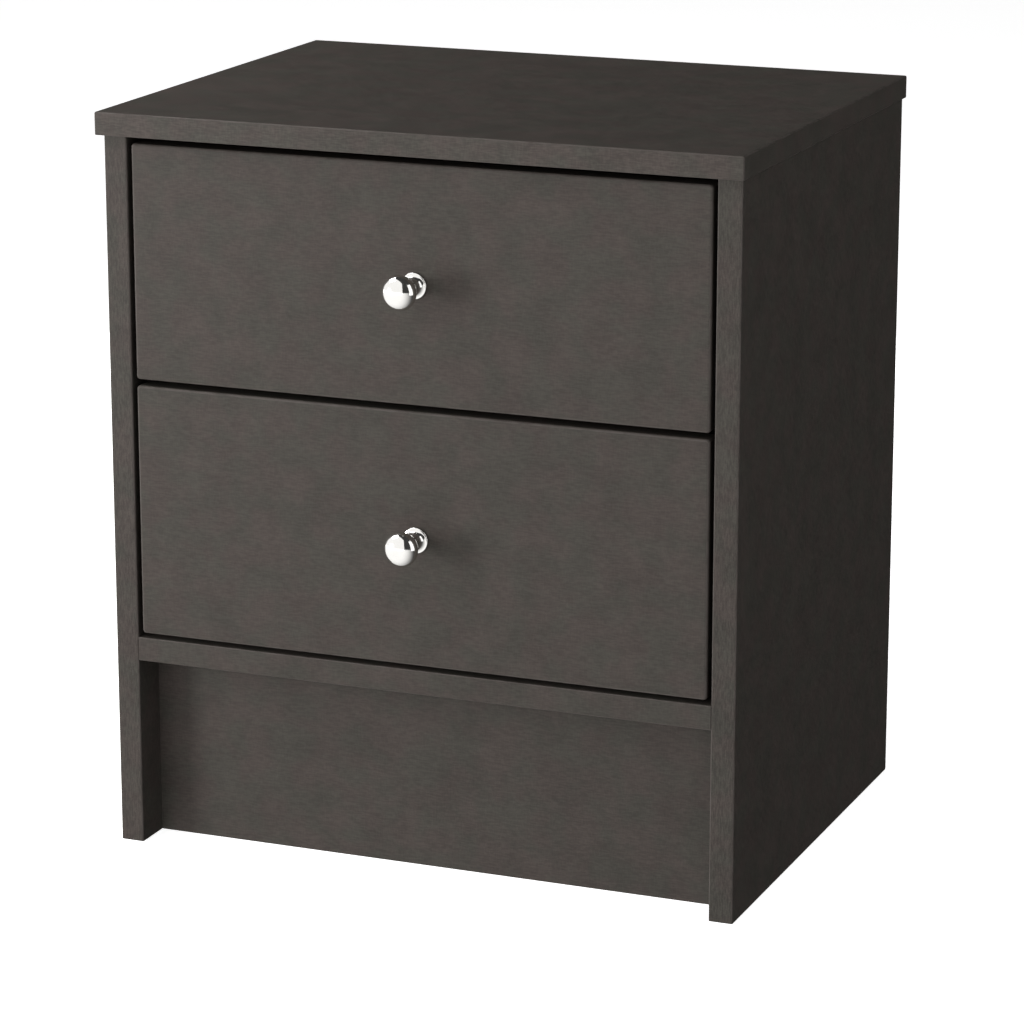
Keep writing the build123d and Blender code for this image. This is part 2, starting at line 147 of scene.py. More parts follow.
class BoardSettings(bpy.types.PropertyGroup):
    chip_pale: colour("Pale chips", "Pale chips of the particleboard", (0.62, 0.47, 0.29))
    chip_dark: colour("Dark chips", "Dark chips and glue of the particleboard", (0.26, 0.17, 0.09))
    chip: size("Chip", "Size of the particleboard's chips", 2.2)
    hardboard: colour("Hardboard", "Bare face of the hardboard", (0.30, 0.178, 0.098))
    fibre: size("Fibre", "Size of the hardboard's fibres", 0.9)


class KnobSettings(bpy.types.PropertyGroup):
    chrome: colour("Chrome", "Colour of the chrome plate", (0.745, 0.73, 0.70))
    roughness: share("Roughness", "Roughness of the polished plate", 0.07)
    flange_radius: size("Flange radius", "Radius of the round foot", 8.5)
    flange_thickness: size("Flange thickness", "Thickness of the round foot at its rim", 1.4)
    neck_radius: size("Neck radius", "Thinnest radius of the neck", 4.2)
    neck_from: size("Neck from", "Distance from the drawer to where the neck is thinnest", 8.5)
    neck_to: size("Neck to", "Distance from the drawer to where the neck widens to the head", 14.0)
    head_half_depth: size("Head half depth", "Half the head's depth, front to back", 7.8)
    segments: IntProperty(name="Segments", description="Faces round the knob", default=128, min=24)


class FittingSettings(bpy.types.PropertyGroup):
    zinc: colour("Zinc plate", "Colour of the plated screws and nails", (0.60, 0.60, 0.57))
    cast: colour("Cast zinc", "Colour of the cam locks", (0.46, 0.46, 0.45))
    enamel: colour("Rail enamel", "Powder coat of the drawer rails", (0.34, 0.337, 0.322))
    nylon: colour("Nylon", "Colour of the rollers", (0.80, 0.78, 0.71))
    beech: colour("Beech", "Colour of the dowels", (0.55, 0.38, 0.22))
    recess: share("Recess", "Width of a screw's cross recess over its head's diameter", 0.62)
    recess_slot: share("Recess slot", "Width of the cross's arms over the recess's width", 0.24)
    roller_rim: share("Roller rim", "Inner radius of a roller's rim over its radius", 0.78)
    roller_hub: share("Roller hub", "Radius of a roller's hub over its radius", 0.46)
    roller_recess: size("Roller recess", "Depth of the web between a roller's rim and hub", 1.2)
    roller_ribs: IntProperty(name="Roller ribs", description="Ribs on a roller's web", default=6, min=3)


class StudioSettings(bpy.types.PropertyGroup):
    floor: colour("Floor", "Colour of the floor", (0.86, 0.86, 0.86))
    floor_near: colour("Near floor light", "Light off the floor on the key light's side", (1.34, 1.34, 1.34))
    floor_far: colour("Far floor light", "Light off the floor on the far side", (0.06, 0.06, 0.06))
    room: colour("Room", "Light from the dim room", (0.05, 0.05, 0.05))
    key_power: power("Key power", "Power of the large soft light", 112)
    accent_power: power("Accent power", "Power of the small light", 14.5)
    overhead_power: power("Overhead power", "Power of the panel above", 22)
    rim_power: power("Rim power", "Power of the light at the right", 15)
    back_power: power("Back power", "Power of the light behind", 3.5)
    lens: FloatProperty(name="Lens", description="Camera lens in millimetres", default=142.9)
    turn: angle("Turn", "Camera's turn about the vertical", 22.01)
    tilt: angle("Tilt", "Camera's downward tilt", 14.99)
    camera: FloatVectorProperty(
        name="Camera",
        description="Camera's place",
        default=(0.9872, -2.4289, 0.9120),
        size=3,
        subtype="TRANSLATION",
        unit="LENGTH",
    )


SETTINGS = {
    "cabinet_foil": FoilSettings,
    "cabinet_board": BoardSettings,
    "cabinet_knob": KnobSettings,
    "cabinet_fitting": FittingSettings,
    "cabinet_studio": StudioSettings,
}


# Shader sums


class Wire:
    """A socket of a material's node tree that takes arithmetic with numbers and other wires."""

    def __init__(self, finish, socket):
        self.finish, self.socket = finish, socket

    def sum(self, operation, *terms):
        """A maths node on numbers and wires."""
        return self.finish.add("ShaderNodeMath", {"operation": operation}, dict(enumerate(terms)))

    def __add__(self, other):
        return self.sum("ADD", self, other)

    def __sub__(self, other):
        return self.sum("SUBTRACT", self, other)

    def __mul__(self, other):
        return self.sum("MULTIPLY", self, other)

    def __rsub__(self, other):
        return self.sum("SUBTRACT", other, self)

    __radd__, __rmul__ = __add__, __mul__

    def over(self, low, high):
        """0 where the wire is low or less, 1 where it is high or more, and smooth between."""
        return self.finish.add(
            "ShaderNodeMapRange",
            {"interpolation_type": "SMOOTHSTEP"},
            {"Value": self, "From Min": low, "From Max": high},
            "Result",
        )


class Finish:
    """The node tree of a material or of the world, which is written from nothing."""

    def __init__(self, name, world=False):
        self.material = (bpy.data.worlds if world else bpy.data.materials).new(name)
        self.material.use_nodes = True
        self.tree = self.material.node_tree
        self.tree.nodes.clear()
        self.place = self.add("ShaderNodeTexCoord", output="Object")

    def add(self, kind, settings=None, inputs=None, output=0):
        """A node with its settings, then the values or wires of its inputs. Gives a wire from one output."""
        node = self.tree.nodes.new(kind)
        for key, value in (settings or {}).items():
            setattr(node, key, value)
        for key, value in (inputs or {}).items():
            if isinstance(value, Wire):
                self.tree.links.new(value.socket, node.inputs[key])
            else:
                node.inputs[key].default_value = value
        return Wire(self, node.outputs[output]) if node.outputs else node

    def noise(self, place, scale, detail=2.0, roughness=0.5):
        inputs = {"Vector": place, "Scale": scale, "Detail": detail, "Roughness": roughness}
        return self.add("ShaderNodeTexNoise", inputs=inputs)

    def stretched(self, pitch, moved=(0, 0, 0)):
        """Coordinates that run 1 for each pitch along X, Y and Z."""
        inputs = {"Vector": self.place, "Location": moved, "Scale": [1 / p for p in pitch]}
        return self.add("ShaderNodeMapping", inputs=inputs)

    def mix(self, factor, first, second):
        """One colour turning into another."""
        inputs = {"Factor": factor, 6: (*first, 1) if isinstance(first, tuple) else first}
        inputs[7] = (*second, 1) if isinstance(second, tuple) else second
        return self.add("ShaderNodeMix", {"data_type": "RGBA"}, inputs, 2)

    def shaded(self, tint, factor):
        """A colour made lighter or darker by a wire about 1."""
        return self.add("ShaderNodeVectorMath", {"operation": "SCALE"}, {0: tint, "Scale": factor})

    def bump(self, height, distance, strength):
        """A surface that rises by the distance where height is 1."""
        inputs = {"Height": height, "Distance": distance, "Strength": strength}
        return self.add("ShaderNodeBump", inputs=inputs)

    def facing(self, axis):
        """How much the surface faces along an axis, from -1 to 1."""
        normal = self.add("ShaderNodeTexCoord", output="Normal")
        return self.add("ShaderNodeSeparateXYZ", inputs={0: normal}, output=axis)

    def close(self, **inputs):
        """Ends the material in one surface shader and gives the material."""
        inputs = {key.replace("_", " "): value for key, value in inputs.items()}
        surface = self.add("ShaderNodeBsdfPrincipled", inputs=inputs)
        self.add("ShaderNodeOutputMaterial", inputs={"Surface": surface})
        return self.material


def settings(name):
    """One group of the scene's settings."""
    return getattr(bpy.context.scene, name)


def tone(value):
    """A setting's colour as a plain tuple."""
    return tuple(value)


# Finishes


def chipboard(finish):
    """Colour and height of sawn particleboard: flakes of many shades with pits between them, where painted
    shade darkens the colour.
    """
    board = settings("cabinet_board")
    flakes = finish.stretched((board.chip * 1.6, board.chip * 1.6, board.chip))
    cell = {"Vector": flakes, "Scale": 1.0, "Randomness": 1.0}
    shade = finish.add("ShaderNodeTexVoronoi", {"feature": "F1"}, cell, "Color")
    pick = finish.add("ShaderNodeSeparateColor", inputs={0: shade})
    gap = finish.add("ShaderNodeTexVoronoi", {"feature": "DISTANCE_TO_EDGE"}, cell, "Distance").over(0, 0.12)
    dust = finish.noise(finish.place, 1 / (0.4 * MM), 3)
    colour_mix = finish.mix(pick * 0.75 + dust * 0.35, tone(board.chip_dark), tone(board.chip_pale))
    # the colour darkens to six tenths in the pits at the flakes' edges: painted shade
    return finish.shaded(colour_mix, gap * 0.45 + 0.6), gap * 0.7 + dust * 0.3


def foil_finish(name, run, moved=(0, 0, 0), raw=None, matt=0.0, lighter=1.0, contrast=1.0):
    """Dark printed foil on particleboard. Its short threads lie along run (0, 1 or 2 for X, Y or Z) and
    shorter ones cross them. raw names the axis and way in which the board's sawn edge shows."""
    foil = settings("cabinet_foil")
    finish = Finish(name)
    pitches = [foil.thread_width] * 3
    pitches[run] = foil.thread_length
    threads = finish.noise(finish.stretched(pitches, moved), 1.0, 1.0)
    crossing = [foil.thread_width * 1.2] * 3
    crossing[(run + 2) % 3] = foil.thread_length * 0.8
    crossing[(run + 1) % 3] = foil.thread_length * 0.8 if run == 1 else foil.thread_width * 1.2
    across = finish.noise(finish.stretched(crossing, moved), 1.0, 1.0)
    clouds = finish.noise(finish.stretched([foil.mottle] * 3, moved), 1.0, 3.0, 0.55)
    tints = finish.noise(finish.stretched([foil.mottle * 0.8] * 3, (3, 7, 5)), 1.0, 2.0)
    grit = finish.noise(finish.place, 1 / (0.35 * MM), 2.0)

    printed = finish.mix(tints.over(0.35, 0.65), tone(foil.warm), tone(foil.cool))
    weave = threads.over(0.3, 0.7) * 0.20 + across.over(0.35, 0.75) * 0.11
    weave_mean, clouds_mean = 0.195, 0.08
    shade = (weave + grit * 0.08 - weave_mean) * contrast + clouds.over(0.25, 0.75) * 0.16 + (1 - clouds_mean)
    # the last factor lightens the whole foil: on the drawer boxes their own lighter foil, on the top panel
    # painted light from above
    printed = finish.shaded(printed, shade * lighter)

    # rounded edges are where the surface faces along no axis; there the foil turns lighter, partly rubbed
    # wear and partly a painted highlight
    x, y, z = (facing * facing for facing in (finish.facing(axis) for axis in range(3)))
    widest = x.sum("MAXIMUM", x.sum("MAXIMUM", x, y), z)
    scuffs = finish.noise(finish.place, 1 / (9 * MM), 4.0).over(0.3, 0.62)
    rubbed_and_highlighted = (1 - widest.over(0.80, 0.985)) * (scuffs * 0.7 + 0.3)
    tint = finish.mix(rubbed_and_highlighted, printed, tone(foil.rubbed_and_highlighted))
    rough = clouds * 0.10 + weave * 0.3 - rubbed_and_highlighted * 0.12 + foil.roughness + matt - 0.08
    height = weave + grit * 0.25
    if raw is not None:
        axis, way = raw
        sawn = (finish.facing(axis) * way).over(0.9, 0.97)
        chips, pits = chipboard(finish)
        tint = finish.mix(sawn, tint, chips)
        rough = rough + sawn * (0.9 - foil.roughness)
        height = height * (1 - sawn) + pits * sawn * 4.0
    normal = finish.bump(height, 0.06 * MM, 0.5)
    return finish.close(Base_Color=tint, Roughness=rough, Normal=normal, Specular_IOR_Level=foil.gloss)


def hardboard_finish(name, axis, way):
    """Hardboard with its printed face one way and its bare brown face the other way along an axis."""
    board, foil = settings("cabinet_board"), settings("cabinet_foil")
    finish = Finish(name)
    fibres = finish.noise(finish.stretched([board.fibre * 3, board.fibre * 3, board.fibre]), 1.0, 4.0, 0.65)
    patches = finish.noise(finish.place, 1 / (60 * MM), 3.0)
    flecks = finish.noise(finish.stretched([board.fibre] * 3, (5, 2, 9)), 1.0, 2.0).over(0.62, 0.78)
    bare = finish.shaded(
        finish.mix(flecks * 0.6, tone(board.hardboard), tuple(3.0 * c for c in board.hardboard)),
        fibres * 0.7 + patches * 0.35 + 0.5,
    )
    threads = finish.noise(finish.stretched([foil.thread_length, foil.thread_width, foil.thread_width]), 1.0)
    printed = finish.shaded(
        finish.mix(patches, tone(foil.warm), tone(foil.cool)),
        threads.over(0.3, 0.7) * 0.28 + patches * 0.2 + 0.76,
    )
    back = (finish.facing(axis) * way).over(-0.5, 0.5)
    tint = finish.mix(back, printed, bare)
    normal = finish.bump(fibres * back + threads * 0.3, 0.08 * MM, 0.6)
    return finish.close(
        Base_Color=tint, Roughness=back * 0.25 + fibres * 0.1 + 0.5, Normal=normal, Specular_IOR_Level=0.3
    )


def chrome_finish():
    """Polished chrome plate: a mirror with faint polishing marks, a haze of handling and slight waves."""
    knob = settings("cabinet_knob")
    finish = Finish("knob_chrome")
    haze = finish.noise(finish.place, 1 / (6 * MM), 4.0, 0.6)
    marks = finish.noise(finish.stretched([0.25 * MM, 3 * MM, 0.25 * MM]), 1.0, 2.0)
    tint = finish.shaded(finish.mix(haze, tone(knob.chrome), (0.78, 0.77, 0.75)), haze * 0.06 + 0.97)
    rough = haze.over(0.35, 0.8) * 0.05 + marks * 0.025 + knob.roughness
    normal = finish.bump(marks * 0.4 + haze, 0.004 * MM, 0.35)
    return finish.close(Base_Color=tint, Metallic=1.0, Roughness=rough, Normal=normal)


def metal_finish(name, tint, rough, grain, spread=0.2, depth=0.02):
    """Plated or cast metal: a base colour that clouds and tarnishes a little, over a fine grain."""
    finish = Finish(name)
    clouds = finish.noise(finish.place, 1 / (5 * MM), 4.0, 0.6)
    grains = finish.noise(finish.place, 1 / grain, 3.0, 0.6)
    warmed = (tint[0], tint[1] * 0.94, tint[2] * 0.82)
    base = finish.shaded(finish.mix(clouds.over(0.4, 0.8), tint, warmed), grains * spread + 1 - spread * 0.6)
    normal = finish.bump(grains, depth * MM, 0.5)
    return finish.close(
        Base_Color=base, Metallic=1.0, Roughness=clouds * 0.15 + grains * 0.12 + rough - 0.12, Normal=normal
    )


def coated_finish(name, tint, rough, peel, depth, worn=0.0):
    """Powder coat or moulded nylon: an even colour, a fine orange peel, and some grime."""
    finish = Finish(name)
    dimples = finish.noise(finish.place, 1 / peel, 2.0)
    grime = finish.noise(finish.place, 1 / (18 * MM), 5.0, 0.65).over(0.45, 0.8)
    base = finish.shaded(finish.mix(grime * 0.3, tint, tuple(0.55 * c for c in tint)), dimples * 0.08 + 0.96)
    scratch = finish.noise(finish.stretched([0.3 * MM, 40 * MM, 0.3 * MM]), 1.0, 2.0).over(0.66, 0.72) * worn
    base = finish.mix(scratch, base, (0.35, 0.34, 0.33))
    normal = finish.bump(dimples - scratch * 0.4, depth * MM, 0.6)
    rough = grime * 0.15 + dimples * 0.08 + rough - 0.04
    return finish.close(Base_Color=base, Roughness=rough, Normal=normal)


def beech_finish():
    """Beech with short flecks along the dowels, which lie along Y or X, and pressed flutes."""
    fitting = settings("cabinet_fitting")
    finish = Finish("beech")
    rays = finish.noise(finish.stretched([3 * MM, 3 * MM, 0.4 * MM]), 1.0, 4.0, 0.6)
    grain = finish.noise(finish.stretched([0.8 * MM, 6 * MM, 0.8 * MM]), 1.0, 3.0)
    dark = tuple(0.62 * c for c in fitting.beech)
    tint = finish.mix(rays * 0.6 + grain * 0.3, tone(fitting.beech), dark)
    normal = finish.bump(rays, 0.05 * MM, 0.5)
    return finish.close(Base_Color=tint, Roughness=grain * 0.2 + 0.5, Normal=normal)


def dress(nodes, material):
    """Gives CAD nodes a material."""
    for name in nodes:
        mesh = frame["nodes"][name].data
        mesh.materials.clear()
        mesh.materials.append(material)


# Shapes


def keep(name, mesh, material, body, stood_for):
    """A finished piece that rides on a CAD body, in place of CAD nodes."""
    mesh.name = name
    mesh.materials.clear()
    mesh.materials.append(material)
    piece = bpy.data.objects.new(name, mesh)
    bpy.context.scene.collection.objects.link(piece)
    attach(piece, body)
    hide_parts(*stood_for)
    return piece


def body_of(node):
    """The name of the body that a CAD node rides on."""
    return frame["nodes"][node].parent.name.removeprefix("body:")


def solids(node):
    """The points of each solid in a CAD node, the leftmost solid first."""
    work = bmesh.new()
    work.from_mesh(frame["nodes"][node].data)
    bmesh.ops.remove_doubles(work, verts=work.verts, dist=1e-6)
    waiting, found = set(work.verts), []
    while waiting:
        island, edge = set(), [waiting.pop()]
        while edge:
            vertex = edge.pop()
            island.add(vertex)
            near = {link.other_vert(vertex) for link in vertex.link_edges} & waiting
            waiting -= near
            edge.extend(near)
        found.append([vertex.co.copy() for vertex in island])
    work.free()
    return sorted(found, key=lambda points: tuple(min(points, key=tuple)))


class Turned:
    """The sizes of a CAD solid that is round about X, Y or Z: its axis, its ends, and its radius along it."""

    def __init__(self, points, axis=None):
        low = Vector([min(p[i] for p in points) for i in range(3)])
        high = Vector([max(p[i] for p in points) for i in range(3)])
        spans = high - low
        self.axis = max(range(3), key=lambda i: spans[i]) if axis is None else axis
        self.middle = (low + high) / 2
        self.low, self.high = low[self.axis], high[self.axis]
        self.reach = [(p[self.axis], self.off_axis(p)) for p in points]
        self.radius = max(off for along, off in self.reach)
        self.bore = min(off for along, off in self.reach)

    def off_axis(self, point):
        """A point's distance from the axis."""
        away = point - self.middle
        away[self.axis] = 0
        return away.length

    def on_axis(self, along):
        """The point of the axis that is so far along it."""
        place = self.middle.copy()
        place[self.axis] = along
        return place

    def headed(self):
        """The place under a fastener's head, the way its head points, and its head's and shank's sizes."""
        wide = [along for along, off in self.reach if off > 0.9 * self.radius]
        up = sum(wide) / len(wide) > (self.low + self.high) / 2
        seat = min(wide) if up else max(wide)
        height = self.high - seat if up else seat - self.low
        length = seat - self.low if up else self.high - seat
        past = [off for along, off in self.reach if (seat - along if up else along - seat) > 0.3 * length]
        sizes = {
            "Head Radius": self.radius,
            "Head Height": height,
            "Shank Radius": max(past),
            "Shank Length": length,
        }
        return self.on_axis(seat), ("+" if up else "-") + "xyz"[self.axis], sizes


def lathe(outline, segments):
    """A closed shape turned round Z from (radius, height) points, which start and end on the axis or in one
    place."""
    work = bmesh.new()
    rings = []
    for radius, height in outline:
        if radius < 1e-7:
            rings.append([work.verts.new((0, 0, height))] * segments)
            continue
        turns = [2 * math.pi * i / segments for i in range(segments)]
        rings.append([work.verts.new((radius * math.cos(a), radius * math.sin(a), height)) for a in turns])
    for low, high in zip(rings, rings[1:]):
        for i in range(segments):
            j = (i + 1) % segments
            corners = list(dict.fromkeys((low[i], low[j], high[j], high[i])))
            if len(corners) > 2:
                work.faces.new(corners).smooth = True
    bmesh.ops.remove_doubles(work, verts=work.verts, dist=1e-7)
    bmesh.ops.recalc_face_normals(work, faces=work.faces)
    mesh = bpy.data.meshes.new("lathe")
    work.to_mesh(mesh)
    work.free()
    return mesh


def arc(centre, radii, start, end, steps):
    """Points on an ellipse's arc, with its angles in degrees."""
    points = []
    for i in range(steps + 1):
        turn = math.radians(start + (end - start) * i / steps)
        points.append((centre[0] + radii[0] * math.cos(turn), centre[1] + radii[1] * math.sin(turn)))
    return points


def sweep(start, pull_start, pull_end, end, steps):
    """Points on a cubic curve between two places, without its ends."""
    points = []
    for i in range(1, steps):
        t = i / steps
        weights = ((1 - t) ** 3, 3 * t * (1 - t) ** 2, 3 * t * t * (1 - t), t**3)
        axes = zip(start, pull_start, pull_end, end)
        points.append(tuple(sum(w * c for w, c in zip(weights, axis)) for axis in axes))
    return points


def knob_outline(head_radius, reach):
    """From the middle of the foot's back, round the foot, up the trumpet neck and over the head."""
    knob = settings("cabinet_knob")
    middle = reach - knob.head_half_depth
    foot, thick, rim, bevel = knob.flange_radius, knob.flange_thickness, 0.6 * MM, 0.3 * MM
    rim_face = (foot - rim, thick)
    ball_back = arc((0, middle), (head_radius, knob.head_half_depth), -50, 90, 40)
    slope = (0.35 * (ball_back[0][0] - knob.neck_radius), 0.45 * (ball_back[0][1] - knob.neck_to))
    neck_low, neck_high = (knob.neck_radius, knob.neck_from), (knob.neck_radius, knob.neck_to)
    return (
        [(0, 0), (foot - bevel, 0), (foot, bevel), (foot, thick - rim)]
        + arc((foot - rim, thick - rim), (rim, rim), 15, 90, 5)
        + sweep(rim_face, (foot * 0.62, thick + 0.7 * MM), (knob.neck_radius, thick + 3.4 * MM), neck_low, 16)
        + [neck_low, neck_high]
        + sweep(
            neck_high,
            (knob.neck_radius, knob.neck_to + slope[1]),
            (ball_back[0][0] - slope[0], ball_back[0][1] - slope[1]),
            ball_back[0],
            10,
        )
        + ball_back[:-1]
        + [(0, reach)]
    )


def placed(mesh, place, way):
    """Turns a mesh that stands on Z so that it points another way, and puts it in place."""
    mesh.transform(Matrix.Translation(place) @ TURNS[way].to_4x4())
    mesh.update()
    return mesh


# Geometry nodes for the fasteners


class Tree:
    """A geometry node tree with named inputs."""

    def __init__(self, name, numbers):
        self.group = bpy.data.node_groups.new(name, "GeometryNodeTree")
        self.group.interface.new_socket(name="Geometry", in_out="INPUT", socket_type="NodeSocketGeometry")
        for number in numbers:
            self.group.interface.new_socket(name=number, in_out="INPUT", socket_type="NodeSocketFloat")
        self.group.interface.new_socket(name="Finish", in_out="INPUT", socket_type="NodeSocketMaterial")
        self.group.interface.new_socket(name="Geometry", in_out="OUTPUT", socket_type="NodeSocketGeometry")
        self.inputs = self.group.nodes.new("NodeGroupInput")

    def given(self, name):
        """The socket of one of the tree's inputs."""
        return self.inputs.outputs[name]

    def add(self, kind, settings=None, inputs=None, output=0):
        """A node with its settings, then the values or sockets of its inputs. Gives one output socket."""
        node = self.group.nodes.new(kind)
        for key, value in (settings or {}).items():
            setattr(node, key, value)
        for key, value in (inputs or {}).items():
            for one in value if isinstance(value, list) else [value]:
                if isinstance(one, bpy.types.NodeSocket):
                    self.group.links.new(one, node.inputs[key])
                else:
                    node.inputs[key].default_value = one
        return node.outputs[output]

    def maths(self, operation, first, second):
        return self.add("ShaderNodeMath", {"operation": operation}, {0: first, 1: second})

    def vector(self, x=0.0, y=0.0, z=0.0):
        return self.add("ShaderNodeCombineXYZ", inputs={"X": x, "Y": y, "Z": z})

    def moved(self, geometry, z):
        """Geometry moved along Z."""
        inputs = {"Geometry": geometry, "Translation": self.vector(z=z)}
        return self.add("GeometryNodeTransform", inputs=inputs)

    def joined(self, bodies):
        """Bodies that touch or cross, as one body."""
        union = {"operation": "UNION", "solver": "EXACT"}
        return self.add("GeometryNodeMeshBoolean", union, {"Mesh 2": bodies})

    def cut(self, body, tool):
        """A body without what the tool takes in."""
        difference = {"operation": "DIFFERENCE", "solver": "EXACT"}
        return self.add("GeometryNodeMeshBoolean", difference, {"Mesh 1": body, "Mesh 2": tool})

    def end(self, geometry):
        """Puts the geometry on every point, turned, as real mesh with its material."""
        turn = self.add("GeometryNodeInputNamedAttribute", {"data_type": "FLOAT_VECTOR"}, {"Name": "turn"})
        turned = self.add(
            "GeometryNodeInstanceOnPoints",
            inputs={"Points": self.given("Geometry"), "Instance": geometry, "Rotation": turn},
        )
        real = self.add("GeometryNodeRealizeInstances", inputs={0: turned})
        painted = self.add("GeometryNodeSetMaterial", inputs={0: real, "Material": self.given("Finish")})
        self.group.links.new(painted, self.group.nodes.new("NodeGroupOutput").inputs[0])
        return self.group


def turned_body(tree, radius, low, high, sides, radius_high=None):
    """A round bar, straight or tapered, between two heights."""
    inputs = {
        "Vertices": sides,
        "Radius Bottom": radius,
        "Radius Top": radius if radius_high is None else radius_high,
        "Depth": tree.maths("SUBTRACT", high, low),
    }
    return tree.moved(tree.add("GeometryNodeMeshCone", inputs=inputs), low)


def screw_tree():
    """A screw on each point: above it a crowned head with a cross recess, below it a threaded shank."""
    head_sizes, shank_sizes = ("Head Radius", "Head Height"), ("Shank Radius", "Shank Length")
    tree = Tree("screw", head_sizes + shank_sizes + ("Recess", "Slot", "Pitch"))
    radius, height = tree.given("Head Radius"), tree.given("Head Height")
    skirt = tree.maths("MULTIPLY", height, 0.55)
    crown_radius = tree.maths("MULTIPLY", radius, 0.72)
    low = turned_body(tree, radius, 0.0, skirt, 32)
    crown = turned_body(tree, radius, skirt, height, 32, crown_radius)
    reach = tree.maths("MULTIPLY", radius, tree.given("Recess"))
    across = tree.maths("MULTIPLY", reach, 2.0)
    slot = tree.maths("MULTIPLY", across, tree.given("Slot"))
    deep = tree.maths("MULTIPLY", height, 1.3)
    arms = []
    for x, y in ((across, slot), (slot, across)):
        arm = tree.add("GeometryNodeMeshCube", inputs={"Size": tree.vector(x, y, deep)})
        arms.append(tree.moved(arm, height))
    cut = tree.cut(tree.joined([low, crown]), tree.joined(arms))

    # the shank is a turned bar whose rings stand in and out by turns, as a thread does
    length, pitch = tree.given("Shank Length"), tree.given("Pitch")
    rings = tree.maths("CEIL", tree.maths("DIVIDE", tree.maths("MULTIPLY", length, 2.0), pitch), 0.0)
    bar = tree.add(
        "GeometryNodeMeshCylinder",
        {"fill_type": "TRIANGLE_FAN"},
        {"Vertices": 12, "Side Segments": rings, "Radius": tree.given("Shank Radius"), "Depth": length},
    )
    place = tree.add("GeometryNodeInputPosition")
    z = tree.add("ShaderNodeSeparateXYZ", inputs={0: place}, output="Z")
    turn = tree.maths("MULTIPLY", tree.maths("DIVIDE", z, pitch), 2 * math.pi)
    half_depth = 0.11
    inset = tree.maths("MULTIPLY", tree.maths("ADD", tree.maths("SINE", turn, 0.0), 1.0), half_depth)
    shrink = tree.maths("SUBTRACT", 1.0, inset)
    narrowed = tree.add(
        "ShaderNodeVectorMath", {"operation": "MULTIPLY"}, {0: place, 1: tree.vector(shrink, shrink, 1.0)}
    )
    thread = tree.add("GeometryNodeSetPosition", inputs={"Geometry": bar, "Position": narrowed})
    shank = tree.moved(thread, tree.maths("MULTIPLY", length, -0.5))
    return tree.end(tree.add("GeometryNodeJoinGeometry", inputs={0: [cut, shank]}))


def nail_tree():
    """A nail on each point: a flat head with an eased rim above the point, and a pointed shank below."""
    tree = Tree("nail", ("Head Radius", "Head Height", "Shank Radius", "Shank Length"))
    radius, height = tree.given("Head Radius"), tree.given("Head Height")
    shank, length = tree.given("Shank Radius"), tree.given("Shank Length")
    skirt = tree.maths("MULTIPLY", height, 0.5)
    point_from = tree.maths("MULTIPLY", length, -0.86)
    bottom = tree.maths("MULTIPLY", length, -1.0)
    parts = [
        turned_body(tree, radius, 0.0, skirt, 24),
        turned_body(tree, radius, skirt, height, 24, tree.maths("MULTIPLY", radius, 0.86)),
        turned_body(tree, shank, point_from, 0.0, 10),
        turned_body(tree, tree.maths("MULTIPLY", shank, 0.2), bottom, point_from, 10, shank),
    ]
    return tree.end(tree.joined(parts))


def fasteners(node, tree, finish, slot, **inputs):
    """Runs a tree on each solid of a CAD node, placed and turned as each solid is, with the first solid's
    sizes for all, and keeps the mesh it gives.
    """
    read = [Turned(points).headed() for points in solids(node)]
    name = f"{node}_detailed"
    mesh = bpy.data.meshes.new(name)
    mesh.from_pydata([tuple(seat) for seat, way, sizes in read], [], [])
    turns = mesh.attributes.new("turn", "FLOAT_VECTOR", "POINT")
    for place, (seat, way, sizes) in zip(turns.data, read):
        place.vector = TURNS[way].to_euler()
    inputs |= read[0][2] | {"Finish": finish}
    holder = bpy.data.objects.new(name, mesh)
    bpy.context.scene.collection.objects.link(holder)
    modifier = holder.modifiers.new("fasteners", "NODES")
    modifier.node_group = tree
    identifiers = {s.name: s.identifier for s in tree.interface.items_tree if s.in_out == "INPUT"}
    for key, value in inputs.items():
        modifier[identifiers[key]] = value
    graph = bpy.context.evaluated_depsgraph_get()
    result = bpy.data.meshes.new_from_object(holder.evaluated_get(graph))
    bpy.data.objects.remove(holder)
    return keep(name, result, finish, body_of(node), [node])


def roller_mesh(roller):
    """A roller as its CAD solid is, with a sunk web between its rim and hub and ribs across the web."""
    fitting = settings("cabinet_fitting")
    half, radius, bore = (roller.high - roller.low) / 2, roller.radius, roller.bore
    ease, bevel, rib_drop = 0.5 * MM, 0.2 * MM, 0.3 * MM
    steps_a_rib, steps_wide = 12, 2
    rim, hub = radius * fitting.roller_rim, radius * fitting.roller_hub
    floor = half - fitting.roller_recess
    face = [
        (bore, half - bevel),
        (bore + bevel, half),
        (hub - ease * 0.4, half),
        (hub, half - ease * 0.4),
        (hub + ease * 0.3, floor),
        (rim - ease * 0.3, floor),
        (rim, half - ease * 0.4),
        (rim + ease * 0.4, half),
    ]
    edge = arc((radius - ease, half - ease), (ease, ease), 90, 0, 5)
    outline = face + edge
    outline += [(r, -h) for r, h in reversed(outline)]
    segments = fitting.roller_ribs * steps_a_rib
    mesh = lathe(outline + outline[:1], segments)
    for vertex in mesh.vertices:
        away = math.hypot(vertex.co.x, vertex.co.y)
        step = round(math.atan2(vertex.co.y, vertex.co.x) / (2 * math.pi) * segments)
        on_web = hub < away < rim and abs(vertex.co.z) < half - 0.9 * fitting.roller_recess
        if on_web and step % steps_a_rib < steps_wide:
            vertex.co.z = math.copysign(half - rib_drop, vertex.co.z)
    return mesh


# Operators, one for each kind of piece


